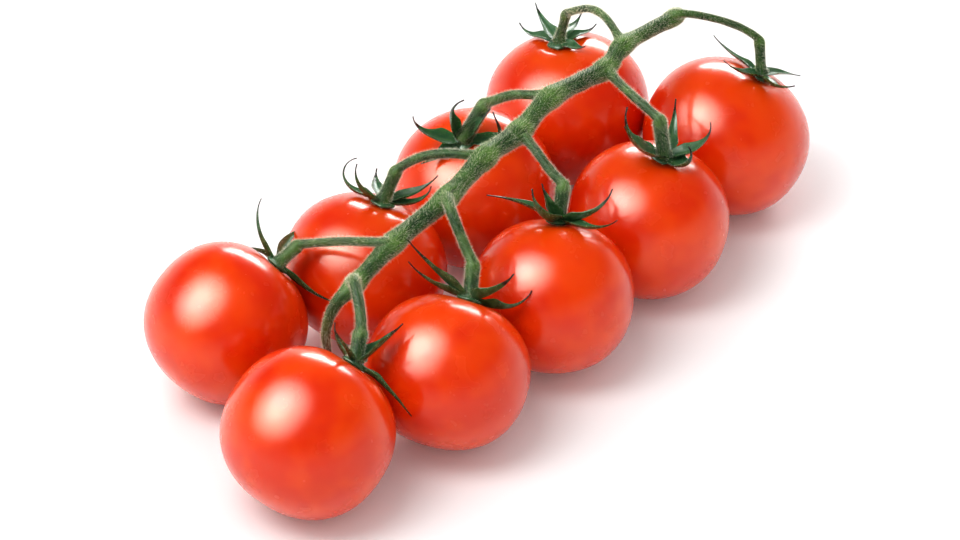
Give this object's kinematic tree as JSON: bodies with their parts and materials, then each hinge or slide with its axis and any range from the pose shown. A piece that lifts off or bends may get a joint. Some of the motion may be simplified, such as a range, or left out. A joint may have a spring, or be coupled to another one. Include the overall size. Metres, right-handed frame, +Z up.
{
  "type": "truss of cherry tomatoes",
  "caption": "Truss of ripe cherry tomatoes lying on its side: glossy red fruits in two rows, each under a star of curled sepals, on knuckled stalks off a hairy green main stem.",
  "frame": {"origin": "under the middle of the truss, on the surface that it lies on", "axes": "+X along the truss from its withered tip to its cut end, +Z up"},
  "size_m": [0.156, 0.0706, 0.0436],
  "materials": {
    "tomato_skin": "ripe orange-red skin, waxy gloss, slightly translucent",
    "stem_green": "mid-green stem with fine pale hairs and yellower nodes",
    "sepal_green": "dark green upper face, paler veins, browned curled tips"
  },
  "bodies": {
    "root": {"rachis": "stem_green", "pedicel_1": "stem_green", "calyx_1": "sepal_green", "tomato_1": "tomato_skin", "pedicel_2": "stem_green", "calyx_2": "sepal_green", "tomato_2": "tomato_skin", "pedicel_3": "stem_green", "calyx_3": "sepal_green", "tomato_3": "tomato_skin", "pedicel_4": "stem_green", "calyx_4": "sepal_green", "tomato_4": "tomato_skin", "pedicel_5": "stem_green", "calyx_5": "sepal_green", "tomato_5": "tomato_skin", "pedicel_6": "stem_green", "calyx_6": "sepal_green", "tomato_6": "tomato_skin", "pedicel_7": "stem_green", "calyx_7": "sepal_green", "tomato_7": "tomato_skin", "pedicel_8": "stem_green", "calyx_8": "sepal_green", "tomato_8": "tomato_skin", "pedicel_9": "stem_green", "calyx_9": "sepal_green", "tomato_9": "tomato_skin"}
  },
  "joints": []
}
